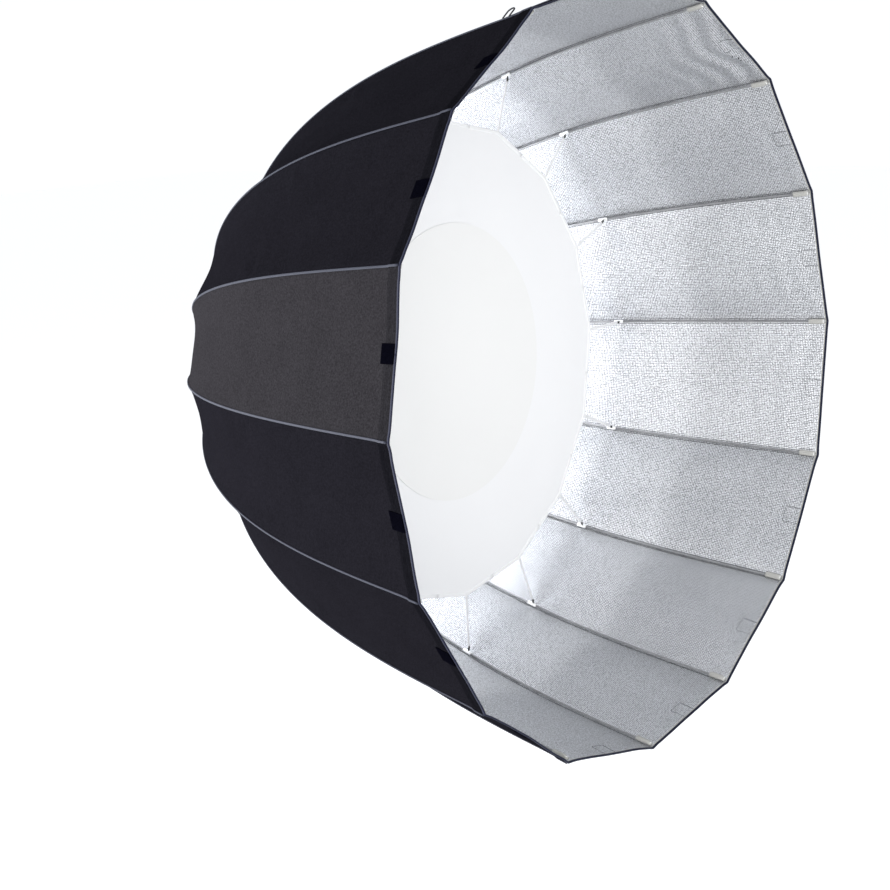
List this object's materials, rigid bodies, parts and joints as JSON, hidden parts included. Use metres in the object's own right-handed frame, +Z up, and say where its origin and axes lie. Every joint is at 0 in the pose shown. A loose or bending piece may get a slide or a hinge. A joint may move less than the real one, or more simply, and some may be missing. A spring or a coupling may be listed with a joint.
{
  "type": "octabox",
  "caption": "Deep umbrella-type octabox softbox: bent rods fold from a rotating speedring and stretch a silver-lined black shell round an inner diffuser.",
  "frame": {"origin": "centre of the speedring's mounting face, on the optical axis", "axes": "+Y along the optical axis towards the lamp, so the mouth faces -Y; +Z up with a rib at the top; +X to the right when looking along +Y into the mouth"},
  "size_m": [1.9008, 1.3216, 1.9008],
  "materials": {
    "cast_aluminium": "satin machined",
    "nylon": "natural nylon",
    "crown_metal": "fine black powder coat",
    "steel_wire": "drawn spring wire",
    "steel_ring": "turned steel",
    "black_plastic": "moulded, fine grain",
    "rod": "grey coated spring rod with moulded ends",
    "shell_fabric": "black polyester outside, pebbled silver reflective coating inside",
    "hook_tape": "black hook tape",
    "cord": "black braided cord",
    "collar_fabric": "black polyester with elastic hem",
    "diffuser_fabric": "white translucent diffusion cloth",
    "patch_fabric": "white diffusion cloth, second layer"
  },
  "bodies": {
    "mount": {"bayonet_ring": "cast_aluminium", "slide_liner": "nylon", "retaining_ring": "steel_ring", "lock_screw": "steel_ring"},
    "crown": {"crown": "crown_metal", "crown_cover": "crown_metal", "hinge_wire": "steel_wire", "rear_collar": "collar_fabric", "inner_diffuser": "diffuser_fabric", "centre_patch": "patch_fabric"},
    "lever": {"lock_lever": "black_plastic"},
    "rib_01": {"rib_01": "rod", "gore_01": "shell_fabric"},
    "flap_01": {"rim_tab_01": "hook_tape"},
    "rib_02": {"rib_02": "rod", "gore_02": "shell_fabric"},
    "flap_02": {"rim_tab_02": "hook_tape"},
    "rib_03": {"rib_03": "rod", "gore_03": "shell_fabric"},
    "flap_03": {"rim_tab_03": "hook_tape"},
    "rib_04": {"rib_04": "rod", "gore_04": "shell_fabric"},
    "flap_04": {"rim_tab_04": "hook_tape"},
    "rib_05": {"rib_05": "rod", "gore_05": "shell_fabric"},
    "flap_05": {"rim_tab_05": "hook_tape"},
    "rib_06": {"rib_06": "rod", "gore_06": "shell_fabric"},
    "flap_06": {"rim_tab_06": "hook_tape"},
    "rib_07": {"rib_07": "rod", "gore_07": "shell_fabric"},
    "flap_07": {"rim_tab_07": "hook_tape"},
    "rib_08": {"rib_08": "rod", "gore_08": "shell_fabric"},
    "flap_08": {"rim_tab_08": "hook_tape"},
    "rib_09": {"rib_09": "rod", "gore_09": "shell_fabric"},
    "flap_09": {"rim_tab_09": "hook_tape"},
    "rib_10": {"rib_10": "rod", "gore_10": "shell_fabric"},
    "flap_10": {"rim_tab_10": "hook_tape"},
    "rib_11": {"rib_11": "rod", "gore_11": "shell_fabric"},
    "flap_11": {"rim_tab_11": "hook_tape"},
    "rib_12": {"rib_12": "rod", "gore_12": "shell_fabric"},
    "flap_12": {"rim_tab_12": "hook_tape"},
    "rib_13": {"rib_13": "rod", "gore_13": "shell_fabric"},
    "flap_13": {"rim_tab_13": "hook_tape"},
    "rib_14": {"rib_14": "rod", "gore_14": "shell_fabric"},
    "flap_14": {"rim_tab_14": "hook_tape"},
    "rib_15": {"rib_15": "rod", "gore_15": "shell_fabric"},
    "flap_15": {"rim_tab_15": "hook_tape"},
    "rib_16": {"rib_16": "rod", "gore_16": "shell_fabric", "hanging_loop": "cord"},
    "flap_16": {"rim_tab_16": "hook_tape"}
  },
  "joints": [
    {"name": "crown_spin", "type": "hinge", "parent": "mount", "child": "crown", "pos_m": [0, 0, 0], "axis": [0, -1, 0], "continuous": true},
    {"name": "lock_swing", "type": "hinge", "parent": "mount", "child": "lever", "pos_m": [0.10396, 0, -0.02068], "axis": [0, -1, 0], "range_deg": [0, 80]},
    {"name": "rib_fold_01", "type": "hinge", "parent": "crown", "child": "rib_01", "pos_m": [0, -0.036, 0.088], "axis": [1, 0, 0], "range_deg": [0, 32], "deforming": ["gore_01", "inner_diffuser", "centre_patch", "rear_collar"]},
    {"name": "flap_turn_01", "type": "hinge", "parent": "rib_01", "child": "flap_01", "pos_m": [0, -0.036, 0.088], "axis": [0, -0.83, 0.5578], "range_deg": [0, 77.5]},
    {"name": "rib_fold_02", "type": "hinge", "parent": "crown", "child": "rib_02", "pos_m": [0.03368, -0.036, 0.0813], "axis": [0.9239, 0, -0.3827], "range_deg": [0, 32], "deforming": ["gore_02"]},
    {"name": "flap_turn_02", "type": "hinge", "parent": "rib_02", "child": "flap_02", "pos_m": [0.03368, -0.036, 0.0813], "axis": [0.2134, -0.83, 0.5153], "range_deg": [0, 77.5]},
    {"name": "rib_fold_03", "type": "hinge", "parent": "crown", "child": "rib_03", "pos_m": [0.06223, -0.036, 0.06223], "axis": [0.7071, 0, -0.7071], "range_deg": [0, 32], "deforming": ["gore_03"]},
    {"name": "flap_turn_03", "type": "hinge", "parent": "rib_03", "child": "flap_03", "pos_m": [0.06223, -0.036, 0.06223], "axis": [0.3944, -0.83, 0.3944], "range_deg": [0, 77.5]},
    {"name": "rib_fold_04", "type": "hinge", "parent": "crown", "child": "rib_04", "pos_m": [0.0813, -0.036, 0.03368], "axis": [0.3827, 0, -0.9239], "range_deg": [0, 32], "deforming": ["gore_04"]},
    {"name": "flap_turn_04", "type": "hinge", "parent": "rib_04", "child": "flap_04", "pos_m": [0.0813, -0.036, 0.03368], "axis": [0.5153, -0.83, 0.2134], "range_deg": [0, 77.5]},
    {"name": "rib_fold_05", "type": "hinge", "parent": "crown", "child": "rib_05", "pos_m": [0.088, -0.036, 0], "axis": [0, 0, -1], "range_deg": [0, 32], "deforming": ["gore_05"]},
    {"name": "flap_turn_05", "type": "hinge", "parent": "rib_05", "child": "flap_05", "pos_m": [0.088, -0.036, 0], "axis": [0.5578, -0.83, 0], "range_deg": [0, 77.5]},
    {"name": "rib_fold_06", "type": "hinge", "parent": "crown", "child": "rib_06", "pos_m": [0.0813, -0.036, -0.03368], "axis": [-0.3827, 0, -0.9239], "range_deg": [0, 32], "deforming": ["gore_06"]},
    {"name": "flap_turn_06", "type": "hinge", "parent": "rib_06", "child": "flap_06", "pos_m": [0.0813, -0.036, -0.03368], "axis": [0.5153, -0.83, -0.2134], "range_deg": [0, 77.5]},
    {"name": "rib_fold_07", "type": "hinge", "parent": "crown", "child": "rib_07", "pos_m": [0.06223, -0.036, -0.06223], "axis": [-0.7071, 0, -0.7071], "range_deg": [0, 32], "deforming": ["gore_07"]},
    {"name": "flap_turn_07", "type": "hinge", "parent": "rib_07", "child": "flap_07", "pos_m": [0.06223, -0.036, -0.06223], "axis": [0.3944, -0.83, -0.3944], "range_deg": [0, 77.5]},
    {"name": "rib_fold_08", "type": "hinge", "parent": "crown", "child": "rib_08", "pos_m": [0.03368, -0.036, -0.0813], "axis": [-0.9239, 0, -0.3827], "range_deg": [0, 32], "deforming": ["gore_08"]},
    {"name": "flap_turn_08", "type": "hinge", "parent": "rib_08", "child": "flap_08", "pos_m": [0.03368, -0.036, -0.0813], "axis": [0.2134, -0.83, -0.5153], "range_deg": [0, 77.5]},
    {"name": "rib_fold_09", "type": "hinge", "parent": "crown", "child": "rib_09", "pos_m": [0, -0.036, -0.088], "axis": [-1, 0, 0], "range_deg": [0, 32], "deforming": ["gore_09"]},
    {"name": "flap_turn_09", "type": "hinge", "parent": "rib_09", "child": "flap_09", "pos_m": [0, -0.036, -0.088], "axis": [0, -0.83, -0.5578], "range_deg": [0, 77.5]},
    {"name": "rib_fold_10", "type": "hinge", "parent": "crown", "child": "rib_10", "pos_m": [-0.03368, -0.036, -0.0813], "axis": [-0.9239, 0, 0.3827], "range_deg": [0, 32], "deforming": ["gore_10"]},
    {"name": "flap_turn_10", "type": "hinge", "parent": "rib_10", "child": "flap_10", "pos_m": [-0.03368, -0.036, -0.0813], "axis": [-0.2134, -0.83, -0.5153], "range_deg": [0, 77.5]},
    {"name": "rib_fold_11", "type": "hinge", "parent": "crown", "child": "rib_11", "pos_m": [-0.06223, -0.036, -0.06223], "axis": [-0.7071, 0, 0.7071], "range_deg": [0, 32], "deforming": ["gore_11"]},
    {"name": "flap_turn_11", "type": "hinge", "parent": "rib_11", "child": "flap_11", "pos_m": [-0.06223, -0.036, -0.06223], "axis": [-0.3944, -0.83, -0.3944], "range_deg": [0, 77.5]},
    {"name": "rib_fold_12", "type": "hinge", "parent": "crown", "child": "rib_12", "pos_m": [-0.0813, -0.036, -0.03368], "axis": [-0.3827, 0, 0.9239], "range_deg": [0, 32], "deforming": ["gore_12"]},
    {"name": "flap_turn_12", "type": "hinge", "parent": "rib_12", "child": "flap_12", "pos_m": [-0.0813, -0.036, -0.03368], "axis": [-0.5153, -0.83, -0.2134], "range_deg": [0, 77.5]},
    {"name": "rib_fold_13", "type": "hinge", "parent": "crown", "child": "rib_13", "pos_m": [-0.088, -0.036, 0], "axis": [0, 0, 1], "range_deg": [0, 32], "deforming": ["gore_13"]},
    {"name": "flap_turn_13", "type": "hinge", "parent": "rib_13", "child": "flap_13", "pos_m": [-0.088, -0.036, 0], "axis": [-0.5578, -0.83, 0], "range_deg": [0, 77.5]},
    {"name": "rib_fold_14", "type": "hinge", "parent": "crown", "child": "rib_14", "pos_m": [-0.0813, -0.036, 0.03368], "axis": [0.3827, 0, 0.9239], "range_deg": [0, 32], "deforming": ["gore_14"]},
    {"name": "flap_turn_14", "type": "hinge", "parent": "rib_14", "child": "flap_14", "pos_m": [-0.0813, -0.036, 0.03368], "axis": [-0.5153, -0.83, 0.2134], "range_deg": [0, 77.5]},
    {"name": "rib_fold_15", "type": "hinge", "parent": "crown", "child": "rib_15", "pos_m": [-0.06223, -0.036, 0.06223], "axis": [0.7071, 0, 0.7071], "range_deg": [0, 32], "deforming": ["gore_15"]},
    {"name": "flap_turn_15", "type": "hinge", "parent": "rib_15", "child": "flap_15", "pos_m": [-0.06223, -0.036, 0.06223], "axis": [-0.3944, -0.83, 0.3944], "range_deg": [0, 77.5]},
    {"name": "rib_fold_16", "type": "hinge", "parent": "crown", "child": "rib_16", "pos_m": [-0.03368, -0.036, 0.0813], "axis": [0.9239, 0, 0.3827], "range_deg": [0, 32], "deforming": ["gore_16"]},
    {"name": "flap_turn_16", "type": "hinge", "parent": "rib_16", "child": "flap_16", "pos_m": [-0.03368, -0.036, 0.0813], "axis": [-0.2134, -0.83, 0.5153], "range_deg": [0, 77.5]}
  ],
  "couplings": [
    {"joint": "flap_turn_01", "follows": "rib_fold_01", "ratio": 2.4219},
    {"joint": "rib_fold_02", "follows": "rib_fold_01", "ratio": 1},
    {"joint": "flap_turn_02", "follows": "rib_fold_01", "ratio": 2.4219},
    {"joint": "rib_fold_03", "follows": "rib_fold_01", "ratio": 1},
    {"joint": "flap_turn_03", "follows": "rib_fold_01", "ratio": 2.4219},
    {"joint": "rib_fold_04", "follows": "rib_fold_01", "ratio": 1},
    {"joint": "flap_turn_04", "follows": "rib_fold_01", "ratio": 2.4219},
    {"joint": "rib_fold_05", "follows": "rib_fold_01", "ratio": 1},
    {"joint": "flap_turn_05", "follows": "rib_fold_01", "ratio": 2.4219},
    {"joint": "rib_fold_06", "follows": "rib_fold_01", "ratio": 1},
    {"joint": "flap_turn_06", "follows": "rib_fold_01", "ratio": 2.4219},
    {"joint": "rib_fold_07", "follows": "rib_fold_01", "ratio": 1},
    {"joint": "flap_turn_07", "follows": "rib_fold_01", "ratio": 2.4219},
    {"joint": "rib_fold_08", "follows": "rib_fold_01", "ratio": 1},
    {"joint": "flap_turn_08", "follows": "rib_fold_01", "ratio": 2.4219},
    {"joint": "rib_fold_09", "follows": "rib_fold_01", "ratio": 1},
    {"joint": "flap_turn_09", "follows": "rib_fold_01", "ratio": 2.4219},
    {"joint": "rib_fold_10", "follows": "rib_fold_01", "ratio": 1},
    {"joint": "flap_turn_10", "follows": "rib_fold_01", "ratio": 2.4219},
    {"joint": "rib_fold_11", "follows": "rib_fold_01", "ratio": 1},
    {"joint": "flap_turn_11", "follows": "rib_fold_01", "ratio": 2.4219},
    {"joint": "rib_fold_12", "follows": "rib_fold_01", "ratio": 1},
    {"joint": "flap_turn_12", "follows": "rib_fold_01", "ratio": 2.4219},
    {"joint": "rib_fold_13", "follows": "rib_fold_01", "ratio": 1},
    {"joint": "flap_turn_13", "follows": "rib_fold_01", "ratio": 2.4219},
    {"joint": "rib_fold_14", "follows": "rib_fold_01", "ratio": 1},
    {"joint": "flap_turn_14", "follows": "rib_fold_01", "ratio": 2.4219},
    {"joint": "rib_fold_15", "follows": "rib_fold_01", "ratio": 1},
    {"joint": "flap_turn_15", "follows": "rib_fold_01", "ratio": 2.4219},
    {"joint": "rib_fold_16", "follows": "rib_fold_01", "ratio": 1},
    {"joint": "flap_turn_16", "follows": "rib_fold_01", "ratio": 2.4219}
  ]
}
